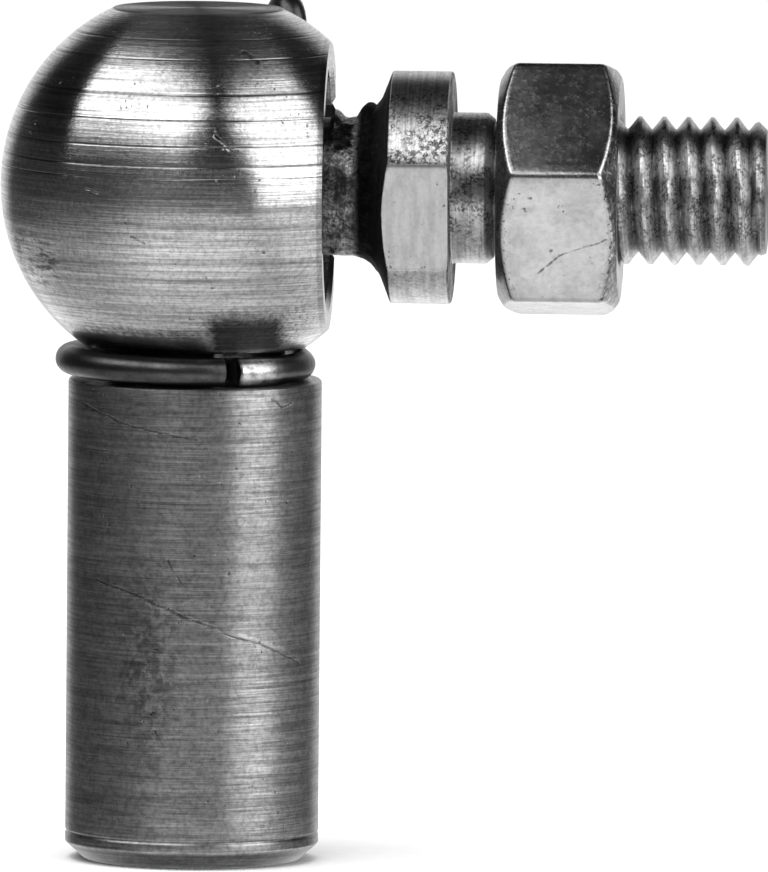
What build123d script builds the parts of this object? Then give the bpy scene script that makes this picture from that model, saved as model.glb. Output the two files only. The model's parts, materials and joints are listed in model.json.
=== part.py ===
from build123d import *
import os
from math import acos, atan2, cos, degrees, radians, sin, sqrt, tan

# Angle ball joint: a ball socket on a tapped shank, and a ball stud that swings in it, with a nut on its thread.
# Millimetres. +Z runs up the shank from the mouth of its tapped hole, and +X along the stud.
# The socket's head, the ball, the snap ring and the clip are set out from the ball's centre.

# Socket
ball_height = 22.4  # from the shank's end to the ball's centre
head_diameter = 13.0
head_top_flat_diameter = 5.6
head_seat_diameter = 7.48  # where the round head meets the neck groove
mouth_rim_width = 0.73
mouth_chamfer = 0.15
shank_diameter = 8.4
shank_shoulder_chamfer = 0.15
shank_end_chamfer_length = 0.55
shank_end_chamfer_depth = 0.6
fillister_height = 0.9  # a fine turned ring above the shank's end
fillister_depth = 0.06

# Tapped hole in the shank, at the tap drill's size
tap_drill_diameter = 4.2
tapped_depth = 11.0
drill_point_angle = 118.0
tap_countersink_diameter = 5.1

# Ball and its seat
ball_diameter = 8.0
seat_clearance = 0.05

# Snap ring that holds the ball in the seat
ring_wire_diameter = 0.8
ring_contact_angle = 24.0  # from the ball's equator towards the mouth
ring_clearance = 0.02
ring_groove_play = 0.1
ring_gap_angle = 24.0

# Ball stud, set out along its axis from the ball's centre
neck_diameter = 4.56
flare_start = 5.05
flare_radius = 1.2
flare_angle = 68.8
collar_diameter = 7.7
collar_width = 2.0
collar_back_chamfer = 0.1
wrench_flats_width = 7.0
wrench_flats_turn = 10.8
shoulder_diameter = 5.0
shoulder_length = 1.4
shoulder_chamfer_length = 0.25
shoulder_chamfer_depth = 0.2
undercut_width = 0.2
undercut_diameter = 4.0
thread_major_diameter = 4.9
thread_pitch_diameter = 4.48
thread_length = 8.82
thread_end_chamfer = 0.4
thread_clearance = 0.04  # of the stud's and the nut's shared pitch cylinder, all round

# Nut
nut_across_flats = 7.94
nut_height = 4.02
nut_standoff = 0.16  # from the shoulder's end to the nut
nut_turn = 19.5
nut_chamfer_angle = 30.0
nut_face_diameter = 7.5
nut_countersink_diameter = 5.3
nut_countersink_angle = 120.0
nut_thread_lead = 0.06  # from the nut's outer face to the free thread

# Safety clip of spring wire
clip_wire_diameter = 0.95
clip_clearance = 0.05
clip_groove_play = 0.19  # height of the neck groove beyond the wire
clip_ring_shift = 0.33  # of the ring's centre, away from the mouth
clip_joint_angle = -70.0  # where the wire's two ends meet, about +Z from +X
clip_joint_gap = 0.12
clip_riser_angle = 115.0
clip_riser_lead = 1.0
clip_foot_bend = 0.9
clip_top_bend = 0.75
clip_top_rise = 1.95  # of the top bend's corner, beyond the wire's line round the head
slot_web = 0.15  # between the snap ring's groove and the clip's slot
swing_limit = 15.0
swing_clearance = 0.13

# A round stretch of the wire is a run of arcs of this share of its radius, with short straights between them.
arc_share = 0.97

# What follows from the sizes above
head_radius = head_diameter / 2
shank_radius = shank_diameter / 2
ball_radius = ball_diameter / 2
neck_radius = neck_diameter / 2
collar_radius = collar_diameter / 2
shoulder_radius = shoulder_diameter / 2
seat_radius = ball_radius + seat_clearance
mouth_radius = seat_radius + mouth_rim_width
mouth_reach = sqrt(head_radius**2 - mouth_radius**2)
head_top = sqrt(head_radius**2 - (head_top_flat_diameter / 2) ** 2)

clip_wire_radius = clip_wire_diameter / 2
groove_top = -sqrt(head_radius**2 - (head_seat_diameter / 2) ** 2)
groove_height = clip_wire_diameter + clip_groove_play
groove_middle = groove_top - groove_height / 2
groove_bottom = groove_top - groove_height
wire_round_head = head_radius + clip_wire_radius + clip_clearance
clip_ring_radius = sqrt(wire_round_head**2 - groove_middle**2)
clip_ring_slope = (clip_groove_play - clip_clearance) / (2 * clip_ring_radius)
neck_groove_radius = clip_ring_radius - clip_ring_shift - clip_wire_radius - clip_clearance

ring_wire_radius = ring_wire_diameter / 2
ring_distance = ball_radius + ring_wire_radius + ring_clearance
ring_reach = ring_distance * sin(radians(ring_contact_angle))
ring_radius = ring_distance * cos(radians(ring_contact_angle))
ring_groove_width = ring_wire_diameter + ring_groove_play
ring_groove_radius = ball_radius + ring_wire_diameter + seat_clearance

slot_floor = ring_reach + ring_groove_width / 2 + slot_web
slot_width = clip_wire_diameter + 2 * clip_clearance
leg_reach = slot_floor + clip_clearance + clip_wire_radius
leg_offset = (
    neck_radius + clip_wire_radius + swing_clearance + leg_reach * sin(radians(swing_limit))
) / cos(radians(swing_limit))

flare_end = flare_start + flare_radius * sin(radians(flare_angle))
flare_end_radius = neck_radius + flare_radius * (1 - cos(radians(flare_angle)))
collar_start = flare_end + (collar_radius - flare_end_radius) / tan(radians(flare_angle))
collar_end = collar_start + collar_width
shoulder_end = collar_end + shoulder_length
thread_start = shoulder_end + undercut_width
stud_end = thread_start + thread_length
nut_start = shoulder_end + nut_standoff
nut_end = nut_start + nut_height
free_thread_start = nut_end + nut_thread_lead

ball_centre = Pos(0, 0, ball_height)


def turned_on_stud(points):
    """A solid turned about the stud's axis, from (distance along it, radius) points that start and end on it."""
    return revolve(make_face(Polyline(*points, close=True)), Axis.X)


def make_socket_blank():
    """The socket before its seat, slot and tapped hole: head, neck groove and shank as one turned piece."""
    shank_end = -ball_height
    arc_middle = sqrt(head_radius**2 / 2)
    outline = [
        Line((0, shank_end), (shank_radius - shank_end_chamfer_depth, shank_end)),
        Polyline(
            (shank_radius - shank_end_chamfer_depth, shank_end),
            (shank_radius, shank_end + shank_end_chamfer_length),
            (shank_radius, shank_end + fillister_height - fillister_depth),
            (shank_radius - fillister_depth, shank_end + fillister_height),
            (shank_radius, shank_end + fillister_height + fillister_depth),
            (shank_radius, groove_bottom - shank_shoulder_chamfer),
            (shank_radius - shank_shoulder_chamfer, groove_bottom),
            (neck_groove_radius, groove_bottom),
            (neck_groove_radius, groove_top),
            (head_seat_diameter / 2, groove_top),
        ),
        ThreePointArc(
            (head_seat_diameter / 2, groove_top),
            (arc_middle, arc_middle),
            (head_top_flat_diameter / 2, head_top),
        ),
        Polyline((head_top_flat_diameter / 2, head_top), (0, head_top), (0, shank_end)),
    ]
    return revolve(Plane.XZ * make_face(outline), Axis.Z)


def make_seat():
    """What is bored out of the head for the ball: a round-ended bore with the snap ring's groove and a chamfer."""
    outline = [
        ThreePointArc(
            (-seat_radius, 0),
            (-seat_radius / sqrt(2), seat_radius / sqrt(2)),
            (0, seat_radius),
        ),
        Polyline(
            (0, seat_radius),
            (ring_reach - ring_groove_width / 2, seat_radius),
            (ring_reach - ring_groove_width / 2, ring_groove_radius),
            (ring_reach + ring_groove_width / 2, ring_groove_radius),
            (ring_reach + ring_groove_width / 2, seat_radius),
            (mouth_reach - mouth_chamfer, seat_radius),
            (mouth_reach + mouth_chamfer, seat_radius + 2 * mouth_chamfer),
            (mouth_reach + mouth_chamfer, 0),
            (-seat_radius, 0),
        ),
    ]
    return revolve(make_face(outline), Axis.X)


def make_tapped_hole():
    """The blind hole at the tap drill's size, with its drill point and a countersink at the mouth."""
    drill_radius = tap_drill_diameter / 2
    countersink_radius = tap_countersink_diameter / 2
    point_height = drill_radius / tan(radians(drill_point_angle / 2))
    outline = Polyline(
        (0, 0),
        (countersink_radius, 0),
        (drill_radius, countersink_radius - drill_radius),
        (drill_radius, tapped_depth),
        (0, tapped_depth + point_height),
        close=True,
    )
    return revolve(Plane.XZ * make_face(outline), Axis.Z)


def make_ball_socket():
    head_side = 2 * head_diameter
    beyond_mouth = Pos(mouth_reach + head_side / 2, 0, 0) * Box(head_side, head_side, 2 * head_radius)
    slot = Pos((slot_floor + head_radius) / 2, leg_offset, (head_radius + groove_top) / 2) * Box(
        head_radius - slot_floor, slot_width, head_radius - groove_top
    )
    socket = ball_centre * (make_socket_blank() - beyond_mouth - make_seat() - slot)
    return socket - make_tapped_hole()


def make_snap_ring():
    """A split ring of round wire in the seat's groove, with its gap towards the shank."""
    turn = 360 - ring_gap_angle
    section = Pos(ring_reach, ring_radius, 0) * Circle(ring_wire_radius)
    ring = revolve(section, Axis.X, revolution_arc=turn)
    return ball_centre * Rot(X=ring_gap_angle / 2 - 90) * ring


def make_ball_stud():
    waist = neck_radius + flare_radius
    ball_meets_neck = sqrt(ball_radius**2 - neck_radius**2)
    thread_radius = thread_major_diameter / 2
    shared_radius = thread_pitch_diameter / 2 - thread_clearance / 2
    half_flare = radians(flare_angle / 2)
    outline = [
        ThreePointArc((-ball_radius, 0), (0, ball_radius), (ball_meets_neck, neck_radius)),
        Line((ball_meets_neck, neck_radius), (flare_start, neck_radius)),
        ThreePointArc(
            (flare_start, neck_radius),
            (flare_start + flare_radius * sin(half_flare), waist - flare_radius * cos(half_flare)),
            (flare_end, flare_end_radius),
        ),
        Polyline(
            (flare_end, flare_end_radius),
            (collar_start, collar_radius),
            (collar_end - collar_back_chamfer, collar_radius),
            (collar_end, collar_radius - collar_back_chamfer),
            (collar_end, shoulder_radius),
            (shoulder_end - shoulder_chamfer_length, shoulder_radius),
            (shoulder_end, shoulder_radius - shoulder_chamfer_depth),
            (shoulder_end, undercut_diameter / 2),
            (thread_start, undercut_diameter / 2),
            (thread_start, shared_radius),
            (free_thread_start, shared_radius),
            (free_thread_start, thread_radius),
            (stud_end - thread_end_chamfer, thread_radius),
            (stud_end, thread_radius - thread_end_chamfer),
            (stud_end, 0),
            (-ball_radius, 0),
        ),
    ]
    stud = revolve(make_face(outline), Axis.X)
    cutter_middle = (wrench_flats_width + collar_radius) / 2
    for side in (-1, 1):
        cutter = Pos((flare_start + collar_end) / 2, side * cutter_middle, 0) * Box(
            collar_end - flare_start, collar_radius, collar_diameter
        )
        stud -= Rot(X=wrench_flats_turn) * cutter
    return ball_centre * stud


def make_hex_nut():
    """A hexagon nut, its six corners turned off to a cone at both faces."""
    corner_radius = nut_across_flats / 2 / cos(radians(30))
    face_radius = nut_face_diameter / 2
    corner_height = (corner_radius - face_radius) * tan(radians(nut_chamfer_angle))
    bore_radius = thread_pitch_diameter / 2 + thread_clearance / 2
    countersink_radius = nut_countersink_diameter / 2
    countersink_depth = (countersink_radius - bore_radius) / tan(radians(nut_countersink_angle / 2))
    hexagon = extrude(RegularPolygon(nut_across_flats / 2, 6, major_radius=False), nut_height)
    upright = Pos(nut_start, 0, 0) * Rot(X=nut_turn) * Rot(Y=90) * hexagon
    turned = turned_on_stud(
        [
            (nut_start, 0),
            (nut_start, face_radius),
            (nut_start + corner_height, corner_radius),
            (nut_end - corner_height, corner_radius),
            (nut_end, face_radius),
            (nut_end, 0),
        ]
    )
    bore = turned_on_stud(
        [
            (nut_start, 0),
            (nut_start, countersink_radius),
            (nut_start + countersink_depth, bore_radius),
            (nut_end - countersink_depth, bore_radius),
            (nut_end, countersink_radius),
            (nut_end, 0),
        ]
    )
    return ball_centre * ((upright & turned) - bore)


def clip_ring_point(angle, radius):
    """A point of the clip's leaning ring, at an angle in degrees about the ring's centre."""
    across = radius * cos(radians(angle))
    return Vector(
        across - clip_ring_shift,
        radius * sin(radians(angle)),
        groove_middle - clip_ring_slope * across,
    )


def ring_corners(start_angle, end_angle, count):
    """Corners whose sides touch the clip's ring at the two angles and evenly between them."""
    step = (end_angle - start_angle) / count
    radius = clip_ring_radius / cos(radians(step / 2))
    return [clip_ring_point(start_angle + (i + 0.5) * step, radius) for i in range(count)]


def riser_corners(foot, top, count):
    """Corners of the stretch that runs round the back of the head, in the plane of both ends and the ball's centre."""
    outward = foot.normalized()
    around = (top - outward * top.dot(outward)).normalized()
    foot_lead = acos(wire_round_head / foot.length)
    top_lead = acos(wire_round_head / top.length)
    span = radians(foot.get_angle(top)) - foot_lead - top_lead
    step = span / count
    radius = wire_round_head / cos(step / 2)
    angles = [foot_lead + (i + 0.5) * step for i in range(count)]
    return [outward * radius * cos(a) + around * radius * sin(a) for a in angles]


def make_safety_clip():
    """One bent wire: from its joint round the neck, up the back of the head, down through the slot and back."""
    half_gap = degrees(clip_joint_gap / 2 / clip_ring_radius)
    start_angle = clip_joint_angle - half_gap
    end_angle = clip_joint_angle + half_gap
    riser_angle = clip_riser_angle - 360

    clockwise = Vector(sin(radians(riser_angle)), -cos(radians(riser_angle)), 0)
    riser_foot = clip_ring_point(riser_angle, clip_ring_radius) + clockwise * clip_riser_lead
    top_distance = wire_round_head + clip_top_rise
    leg_top = Vector(leg_reach, leg_offset, sqrt(top_distance**2 - leg_reach**2 - leg_offset**2))

    leg_across = leg_reach + clip_ring_shift
    leg_distance = sqrt(leg_across**2 + leg_offset**2)
    leg_angle = degrees(atan2(leg_offset, leg_across))
    leg_foot = clip_ring_point(leg_angle, leg_distance)
    leg_joins_ring = leg_angle - degrees(acos(clip_ring_radius / leg_distance))

    points = [
        clip_ring_point(start_angle, clip_ring_radius),
        *ring_corners(start_angle, riser_angle, 3),
        riser_foot,
        *riser_corners(riser_foot, leg_top, 2),
        leg_top,
        leg_foot,
        *ring_corners(leg_joins_ring, end_angle, 2),
        clip_ring_point(end_angle, clip_ring_radius),
    ]
    ring_bend = arc_share * clip_ring_radius
    bends = [
        *[ring_bend] * 3,
        clip_foot_bend,
        *[arc_share * wire_round_head] * 2,
        clip_top_bend,
        clip_foot_bend,
        *[ring_bend] * 2,
    ]
    path = FilletPolyline(*points, radius=bends)
    section = Plane(origin=path @ 0, z_dir=path % 0) * Circle(clip_wire_radius)
    return ball_centre * sweep(section, path=path, transition=Transition.RIGHT)


os.makedirs("parts", exist_ok=True)
export_step(make_ball_socket(), "parts/ball_socket.step")
export_step(make_ball_stud(), "parts/ball_stud.step")
export_step(make_hex_nut(), "parts/hex_nut.step")
export_step(make_snap_ring(), "parts/snap_ring.step")
export_step(make_safety_clip(), "parts/safety_clip.step")
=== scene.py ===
import json
from math import acos, asin, atan2, ceil, cos, degrees, pi, radians, sin, sqrt, tan

import bmesh
import bpy
from mathutils import Matrix, Vector, noise


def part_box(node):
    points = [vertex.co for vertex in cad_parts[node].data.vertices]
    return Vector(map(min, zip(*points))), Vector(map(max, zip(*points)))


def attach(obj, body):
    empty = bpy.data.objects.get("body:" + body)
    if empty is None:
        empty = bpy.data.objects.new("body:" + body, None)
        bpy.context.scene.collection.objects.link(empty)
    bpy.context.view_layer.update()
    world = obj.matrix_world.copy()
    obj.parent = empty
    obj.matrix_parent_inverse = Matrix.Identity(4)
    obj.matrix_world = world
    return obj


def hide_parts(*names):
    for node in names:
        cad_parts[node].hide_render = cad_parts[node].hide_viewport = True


# Angle ball joint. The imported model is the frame: each piece is made in it, from its boxes and joints.
# Sizes are in millimetres, and become metres where a mesh is made. Angles are in degrees.
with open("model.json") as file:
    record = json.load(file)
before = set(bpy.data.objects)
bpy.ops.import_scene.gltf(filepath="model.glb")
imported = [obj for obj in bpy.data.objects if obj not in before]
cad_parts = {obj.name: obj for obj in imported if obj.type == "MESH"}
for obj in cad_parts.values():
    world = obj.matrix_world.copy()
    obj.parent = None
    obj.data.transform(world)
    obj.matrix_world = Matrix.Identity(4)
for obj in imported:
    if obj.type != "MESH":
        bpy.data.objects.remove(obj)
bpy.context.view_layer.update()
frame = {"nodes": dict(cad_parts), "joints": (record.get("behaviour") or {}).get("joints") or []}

MM = 0.001


def box_mm(node):
    """A node's lowest and highest corner, in millimetres."""
    low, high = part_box(node)
    return low / MM, high / MM


joints = {joint["name"]: joint for joint in frame["joints"]}
ball_centre = Vector(joints["stud_swing"]["pos_m"]) / MM
swing_limit = joints["stud_swing"]["range_deg"][1]
socket_low, socket_high = box_mm("ball_socket")
stud_low, stud_high = box_mm("ball_stud")
nut_low, nut_high = box_mm("hex_nut")

# Socket, read from its box, with the sizes that the box doesn't give
shank_end = -ball_centre.z
head_radius = -socket_low.x
mouth_reach = socket_high.x
head_top = socket_high.z - ball_centre.z
seat_clearance = 0.05
head_seat_radius = 3.74
shank_radius = 4.2
shank_end_chamfer_length = 0.55
shank_end_chamfer_depth = 0.6
fillister_height = 0.9
fillister_depth = 0.06
mouth_chamfer = 0.15
tapped_depth = 11.0
tapped_runout = 1.5
tapped_mouth_radius = 2.56
tapped_mouth_depth = 0.08
drill_point_angle = 118.0

# Stud
ball_radius = -stud_low.x
stud_end = stud_high.x
neck_radius = 2.28
flare_start = 5.05
flare_radius = 1.2
flare_angle = 68.8
collar_radius = 3.85
collar_width = 2.0
wrench_flats_half = 3.4
wrench_flats_turn = 12.4
shoulder_radius = 2.5
shoulder_length = 1.4
shoulder_chamfer_length = 0.25
shoulder_chamfer_depth = 0.2
undercut_width = 0.2
undercut_radius = 2.0
thread_lead_in = 0.3
stud_end_chamfer = 0.42
grease_start = 0.08  # beyond the socket's mouth
grease_height = 0.1
grease_grain = 0.02
grease_burrs = (4.5, 0.3, 0.42), (5.62, 0.3, 0.32)  # place along the stud, height and width of each

# Thread: M5, a little worn at its crests
thread_pitch = 0.8
thread_crest_radius = 2.45
thread_root_radius = 2.02
thread_phase = 0.08  # where a crest would lie, along the stud from the ball's centre
hole_thread_crest_radius = 2.5
hole_thread_root_radius = 2.1

# Nut
nut_start = nut_low.x
nut_end = nut_high.x
nut_across_flats = 7.94
nut_turn = 19.5
nut_inner_face_radius = 3.58
nut_outer_face_radius = 3.68
nut_chamfer_angle = 30.0
nut_countersink_radius = 2.65
nut_countersink_depth = 0.3
nut_thread_root_radius = 2.6
nut_thread_depth = 0.12  # shallow, so that it clears the stud's thread as the nut turns in place
nut_edge_round = 0.28
nut_corner_round = 2.0

# Safety clip
clip_wire_radius = 0.475
clip_clearance = 0.05
clip_groove_play = 0.19
clip_ring_shift = 0.33
clip_joint_angle = -64.4
clip_joint_gap = 0.41
clip_riser_angle = 115.0
clip_riser_lead = 1.0
clip_foot_bend = 0.9
clip_top_bend = 0.66
clip_top_rise = 1.95
clip_end_edge = 0.05
slot_web = 0.15
swing_clearance = 0.13

# Snap ring, and its groove in the seat
ring_wire_diameter = 0.8
ring_contact_angle = 24.0
ring_clearance = 0.02
ring_groove_play = 0.1

# What follows from the sizes above
groove_top = -sqrt(head_radius**2 - head_seat_radius**2)
groove_height = 2 * clip_wire_radius + clip_groove_play
groove_middle = groove_top - groove_height / 2
groove_bottom = groove_top - groove_height
wire_round_head = head_radius + clip_wire_radius + clip_clearance
clip_ring_radius = sqrt(wire_round_head**2 - groove_middle**2)
clip_ring_slope = (clip_groove_play - clip_clearance) / (2 * clip_ring_radius)
neck_groove_radius = clip_ring_radius - clip_ring_shift - clip_wire_radius - clip_clearance
seat_radius = ball_radius + seat_clearance
ring_reach = (ball_radius + ring_wire_diameter / 2 + ring_clearance) * sin(radians(ring_contact_angle))
ring_groove_width = ring_wire_diameter + ring_groove_play
ring_groove_radius = ball_radius + ring_wire_diameter + seat_clearance
slot_floor = ring_reach + ring_groove_width / 2 + slot_web
slot_width = 2 * (clip_wire_radius + clip_clearance)
leg_reach = slot_floor + clip_clearance + clip_wire_radius
leg_offset = (
    neck_radius + clip_wire_radius + swing_clearance + leg_reach * sin(radians(swing_limit))
) / cos(radians(swing_limit))
flare_end = flare_start + flare_radius * sin(radians(flare_angle))
flare_end_radius = neck_radius + flare_radius * (1 - cos(radians(flare_angle)))
collar_start = flare_end + (collar_radius - flare_end_radius) / tan(radians(flare_angle))
collar_end = collar_start + collar_width
shoulder_end = collar_end + shoulder_length
thread_start = shoulder_end + undercut_width


# ---- Mesh helpers ----

def link_mesh(name, vertices, faces):
    """A new mesh object from points in millimetres."""
    mesh = bpy.data.meshes.new(name)
    mesh.from_pydata([Vector(v) * MM for v in vertices], [], faces)
    mesh.update()
    made = bpy.data.objects.new(name, mesh)
    bpy.context.scene.collection.objects.link(made)
    return made


def smooth(made, angle=30.0):
    """Smooth shading, with edges sharper than the angle kept sharp."""
    for polygon in made.data.polygons:
        polygon.use_smooth = True
    made.data.set_sharp_from_angle(angle=radians(angle))


def recalculate_normals(made):
    """Faces turned to the outside."""
    mesh = bmesh.new()
    mesh.from_mesh(made.data)
    bmesh.ops.recalc_face_normals(mesh, faces=mesh.faces)
    mesh.to_mesh(made.data)
    mesh.free()


def apply_modifiers(made):
    """The object's modifiers become its mesh."""
    evaluated = made.evaluated_get(bpy.context.evaluated_depsgraph_get())
    mesh = bpy.data.meshes.new_from_object(evaluated)
    made.modifiers.clear()
    made.data = mesh


def cut(made, cutter):
    """Takes the cutter's solid away from the object, and removes the cutter."""
    modifier = made.modifiers.new("cut", "BOOLEAN")
    modifier.operation = "DIFFERENCE"
    modifier.solver = "EXACT"
    modifier.object = cutter
    bpy.context.view_layer.update()
    apply_modifiers(made)
    bpy.data.objects.remove(cutter)


def arc(centre, radius, start, end, steps):
    """Points of an arc in a turned outline, at angles in degrees from the turning axis."""
    points = []
    for i in range(steps + 1):
        angle = radians(start + (end - start) * i / steps)
        points.append((centre[0] + radius * cos(angle), centre[1] + radius * sin(angle)))
    return points


def rounded(points, radius, steps=3):
    """A turned outline whose corners are rounded, each within half of its shorter side."""
    made = [points[0]]
    for before, corner, after in zip(points, points[1:], points[2:]):
        corner = Vector(corner)
        back, on = Vector(before) - corner, Vector(after) - corner
        turn = pi - back.angle(on)
        if turn < radians(12):
            made.append(tuple(corner))
            continue
        reach = min(radius * tan(turn / 2), back.length * 0.45, on.length * 0.45)
        first, last = corner + back.normalized() * reach, corner + on.normalized() * reach
        for i in range(steps + 1):
            t = i / steps
            made.append(tuple(first * (1 - t) ** 2 + corner * 2 * t * (1 - t) + last * t**2))
    made.append(points[-1])
    return made


def divided(points, longest):
    """The outline with its long straight stretches divided."""
    made = [points[0]]
    for before, after in zip(points, points[1:]):
        count = max(1, ceil((Vector(after) - Vector(before)).length / longest))
        for i in range(1, count + 1):
            made.append(tuple(Vector(before).lerp(Vector(after), i / count)))
    return made


def from_axis(along, radius, angle):
    """A point at a distance along the stud's axis and a radius and angle about it."""
    return Vector((along, radius * cos(angle), radius * sin(angle)))


def turned(name, outline, axis, segments, shape=None):
    """A solid turned about Z or X through the ball's centre, from points (distance along it, radius).

    shape(along, radius, angle) may change the radius of a point, for a thread or a flat.
    """
    rings, vertices, faces = [], [], []
    for along, radius in outline:
        count = 1 if radius < 1e-6 else segments
        rings.append((len(vertices), count))
        for i in range(count):
            angle = 2 * pi * i / segments
            reach = shape(along, radius, angle) if shape and count > 1 else radius
            point = from_axis(along, reach, angle)
            vertices.append((point if axis == "X" else point.yzx) + ball_centre)
    for (start, count), (after, after_count) in zip(rings, rings[1:]):
        for i in range(segments):
            j = (i + 1) % segments
            corners = start + i % count, start + j % count, after + j % after_count, after + i % after_count
            face = list(dict.fromkeys(corners))
            if len(face) > 2:
                faces.append(face)
    made = link_mesh(name, vertices, faces)
    recalculate_normals(made)
    return made


def block(low, high):
    """A box between two corners, for a cut."""
    xs, ys, zs = zip(low, high)
    corners = [(x, y, z) for x in xs for y in ys for z in zs]
    faces = [(0, 1, 3, 2), (4, 6, 7, 5), (0, 4, 5, 1), (2, 3, 7, 6), (0, 2, 6, 4), (1, 5, 7, 3)]
    return link_mesh("block", corners, faces)


def thread_depth(turns):
    """How far a V thread with flat crests and round roots stands below its crest, from 0 to 1."""
    from_crest = abs(turns - round(turns)) * 2
    flat = 0.14
    depth = max(0.0, (from_crest - flat) / (1 - flat))
    return min(1.0, 1.08 * depth - 0.08 * depth**4)


# ---- Materials ----

class Nodes:
    """A node tree under way, and short calls that add and link its nodes."""

    def __init__(self, tree):
        self.tree = tree

    def put(self, socket, value):
        """Links an output to the socket, or sets its constant."""
        if isinstance(value, bpy.types.NodeSocket):
            self.tree.links.new(value, socket)
        else:
            socket.default_value = value

    def node(self, kind, *values, **settings):
        """A new node with its settings, its first inputs linked or set in turn."""
        made = self.tree.nodes.new("ShaderNode" + kind)
        for name, setting in settings.items():
            setattr(made, name, setting)
        for socket, value in zip(made.inputs, values):
            self.put(socket, value)
        return made

    def math(self, operation, *values, clamp=False):
        return self.node("Math", *values, operation=operation, use_clamp=clamp).outputs[0]

    def times(self, product, *factors):
        for factor in factors:
            product = self.math("MULTIPLY", product, factor)
        return product

    def plus(self, a, b):
        return self.math("ADD", a, b)

    def minus(self, a, b):
        return self.math("SUBTRACT", a, b)

    def total(self, value, *others):
        """The value and some others, each a pair of a value and its factor."""
        for other, factor in others:
            value = self.plus(value, self.times(other, factor))
        return value

    def sway(self, noise, width):
        """A noise as a shift to either side."""
        return self.times(self.minus(noise, 0.5), width)

    def most(self, a, b):
        return self.math("MAXIMUM", a, b)

    def apart(self, a, b):
        """The distance between two values."""
        return self.math("ABSOLUTE", self.minus(a, b))

    def vector(self, operation, a, b=None):
        """A vector sum; b is a vector, or the factor of a scaling. Lengths and dot products are values."""
        made = self.node("VectorMath", a, operation=operation)
        if b is not None:
            self.put(made.inputs["Scale"] if operation == "SCALE" else made.inputs[1], b)
        return made.outputs["Value" if operation in ("LENGTH", "DOT_PRODUCT") else "Vector"]

    def split(self, vector):
        return tuple(self.node("SeparateXYZ", vector).outputs)

    def join(self, x, y, z):
        return self.node("CombineXYZ", x, y, z).outputs[0]

    def noise(self, vector, scale, detail=4.0, roughness=0.55, w=None, distortion=0.0):
        made = self.node("TexNoise", vector, noise_dimensions="3D" if w is None else "4D")
        if w is not None:
            self.put(made.inputs["W"], w)
        made.inputs["Scale"].default_value = scale
        made.inputs["Detail"].default_value = detail
        made.inputs["Roughness"].default_value = roughness
        made.inputs["Distortion"].default_value = distortion
        return made.outputs["Fac"]

    def ramp(self, value, low, high, to_low=0.0, to_high=1.0):
        """The value's stretch from low to high, smoothly mapped to another stretch."""
        values = value, low, high, to_low, to_high
        return self.node("MapRange", *values, interpolation_type="SMOOTHSTEP").outputs[0]

    def masks(self, *masks):
        """The product of masks; a tuple is a value, where its mask is 0 and where it is whole."""
        return self.times(*[self.ramp(*mask) if isinstance(mask, tuple) else mask for mask in masks])

    def mix(self, share, a, b):
        """Plain values mixed."""
        made = self.node("Mix", share, data_type="FLOAT")
        self.put(made.inputs[2], a)
        self.put(made.inputs[3], b)
        return made.outputs[0]


class Material(Nodes):
    """A procedural material under way."""

    def __init__(self, name):
        self.material = bpy.data.materials.new(name)
        self.material.use_nodes = True
        super().__init__(self.material.node_tree)
        self.shader = self.tree.nodes["Principled BSDF"]
        self.place = self.node("TexCoord").outputs["Object"]

    def surface(self, name, value):
        """Links or sets one of the shader's own inputs."""
        self.put(self.shader.inputs[name], value)

    def grey(self, value):
        """A neutral colour of that brightness, as the base colour."""
        self.surface("Base Color", self.node("CombineColor", value, value, value).outputs[0])

    def brightness(self, tone, *shares):
        """The base colour: a grey times each share in turn, or a pair's share where its mask is whole."""
        for share in shares:
            if isinstance(share, tuple):
                share = self.mix(share[0], 1.0, share[1])
            tone = self.times(tone, share)
        self.grey(self.math("MINIMUM", tone, 1.0))

    def groove(self, axis, strength):
        """Lets the gloss spread across the tool marks that run round an axis."""
        self.surface("Anisotropic Rotation", 0.25)
        _, _, cosine, sine = around(self, axis)
        back = self.times(sine, -1.0)
        direction = self.join(0.0, back, cosine) if axis == "X" else self.join(back, cosine, 0.0)
        spaces = {"convert_from": "OBJECT", "convert_to": "WORLD"}
        tangent = self.node("VectorTransform", direction, vector_type="VECTOR", **spaces)
        self.surface("Tangent", tangent.outputs[0])
        self.surface("Anisotropic", strength)

    def bump(self, height, distance_mm):
        made = self.node("Bump")
        made.inputs["Strength"].default_value = 1.0
        made.inputs["Distance"].default_value = distance_mm * MM
        self.put(made.inputs["Height"], height)
        self.surface("Normal", made.outputs[0])

    def millimetres(self):
        """The place on the object in millimetres, from the ball's centre."""
        terms = self.place, (1 / MM,) * 3, -ball_centre
        return self.node("VectorMath", *terms, operation="MULTIPLY_ADD").outputs[0]


def around(look, axis):
    """Along, radius and the two parts of the direction round a turning axis, in millimetres."""
    x, y, z = look.split(look.millimetres())
    along, across, up = (x, y, z) if axis == "X" else (z, x, y)
    square = look.plus(look.times(across, across), look.times(up, up))
    radius = look.most(look.math("SQRT", square), 0.05)
    return along, radius, look.math("DIVIDE", across, radius), look.math("DIVIDE", up, radius)


def turning(look, axis, fineness, streak, detail):
    """Tool marks round an axis: fine lines that run on for a while and fade."""
    along, radius, cosine, sine = around(look, axis)
    vector = look.join(
        look.times(cosine, streak),
        look.times(sine, streak),
        look.times(radius, fineness),
    )
    return look.noise(vector, 1.0, detail, 0.6, w=look.times(along, fineness))


def pits(look, scale, amount):
    """Small dark pits in loose groups."""
    groups = look.noise(look.millimetres(), 0.9, 2.0)
    spots = look.noise(look.millimetres(), scale, 2.0, 0.5)
    limit = look.ramp(groups, 0.4, 0.75, 0.79, 0.79 - amount)
    return look.ramp(look.minus(spots, limit), 0.0, 0.06)


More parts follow.
